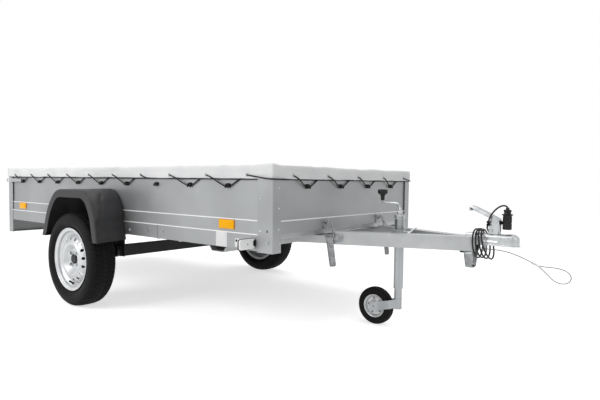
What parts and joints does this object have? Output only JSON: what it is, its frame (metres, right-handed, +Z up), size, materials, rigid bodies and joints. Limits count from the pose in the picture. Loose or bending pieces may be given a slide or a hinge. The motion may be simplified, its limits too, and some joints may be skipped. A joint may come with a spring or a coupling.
{
  "type": "single-axle tilting box trailer",
  "caption": "Small galvanised box trailer with a tilting bed, flat cover, plastic mudguards, V drawbar, jockey wheel and ball coupling.",
  "frame": {"origin": "on the ground, half way between the coupling tip and the faces of the tail lamps, on the centre plane", "axes": "+X forward to the coupling, +Y to the left, +Z up"},
  "size_m": [3.7783, 1.752, 0.81],
  "materials": {
    "galvanised": "hot-dip galvanised, satin",
    "black_plastic": "moulded, matt",
    "fender_plastic": "moulded, fine grain",
    "tyre": "matt",
    "wheel_silver": "silver lacquer",
    "axle_black": "black paint",
    "zinc": "bright zinc plate",
    "plywood": "film-faced plywood",
    "tarp": "coated cloth",
    "amber": "reflector",
    "red": "lens",
    "clear_lens": "lens",
    "plate": "blank plate",
    "cord": "sheathed lead",
    "wire": "plastic-coated wire rope"
  },
  "bodies": {
    "drawbar": {"drawbar_arm_right": "galvanised", "drawbar_arm_left": "galvanised", "drawbar_cross_member": "galvanised", "support_skid": "axle_black", "coupling_body": "zinc", "coupling_handle": "zinc", "plug_holder": "black_plastic", "tilt_latches": "zinc", "jockey_clamp": "galvanised", "clamp_handle": "zinc", "lead_gland": "black_plastic", "lead_cable": "cord", "lead_plug": "black_plastic", "safety_wire": "wire", "wire_ferrule": "zinc", "wire_clamp": "zinc"},
    "jockey_mast": {"jockey_outer_tube": "zinc", "jockey_crank": "black_plastic"},
    "jockey_leg": {"jockey_inner_tube": "zinc"},
    "jockey_fork": {"jockey_fork": "zinc"},
    "jockey_wheel": {"jockey_tyre": "tyre", "jockey_hub": "wheel_silver"},
    "bed": {"side_wall_right": "galvanised", "side_wall_left": "galvanised", "front_wall": "galvanised", "front_posts": "galvanised", "rear_posts": "galvanised", "floor_panel": "plywood", "floor_bearers": "galvanised", "pivot_brackets": "galvanised", "light_board": "galvanised", "tilt_hooks": "zinc", "axle_beam": "axle_black", "axle_arms": "axle_black", "fender_right": "fender_plastic", "fender_left": "fender_plastic", "tailgate_hinges": "zinc", "tailgate_latches": "zinc", "tail_lamps": "red", "triangle_reflectors": "red", "side_reflectors": "amber", "front_markers": "clear_lens", "number_plate": "plate", "tarp_cover": "tarp", "tarp_rear_flap": "tarp"},
    "wheel_right": {"hub_right": "axle_black", "rim_right": "wheel_silver", "tyre_right": "tyre"},
    "wheel_left": {"hub_left": "axle_black", "rim_left": "wheel_silver", "tyre_left": "tyre"},
    "tailgate": {"tailgate": "galvanised"}
  },
  "joints": [
    {"name": "bed_tilt", "type": "hinge", "parent": "drawbar", "child": "bed", "pos_m": [0.099, 0, 0.4525], "axis": [0, -1, 0], "range_deg": [0, 20]},
    {"name": "wheel_right_spin", "type": "hinge", "parent": "bed", "child": "wheel_right", "pos_m": [-0.437, -0.789, 0.2727], "axis": [0, 1, 0], "continuous": true},
    {"name": "wheel_left_spin", "type": "hinge", "parent": "bed", "child": "wheel_left", "pos_m": [-0.437, 0.789, 0.2727], "axis": [0, 1, 0], "continuous": true},
    {"name": "tailgate_hinge", "type": "hinge", "parent": "bed", "child": "tailgate", "pos_m": [-1.773, 0, 0.4435], "axis": [0, -1, 0], "range_deg": [0, 150], "deforming": ["tarp_rear_flap"]},
    {"name": "jockey_mast_slide", "type": "slide", "parent": "drawbar", "child": "jockey_mast", "axis": [0, 0, 1], "range_m": [0, 0.18]},
    {"name": "jockey_leg_slide", "type": "slide", "parent": "jockey_mast", "child": "jockey_leg", "axis": [0, 0, 1], "range_m": [-0.1, 0.048]},
    {"name": "jockey_swivel", "type": "hinge", "parent": "jockey_leg", "child": "jockey_fork", "pos_m": [1.213, 0, 0.153], "axis": [0, 0, 1], "continuous": true},
    {"name": "jockey_wheel_spin", "type": "hinge", "parent": "jockey_fork", "child": "jockey_wheel", "pos_m": [1.087, 0, 0.0966], "axis": [0, 1, 0], "continuous": true}
  ]
}
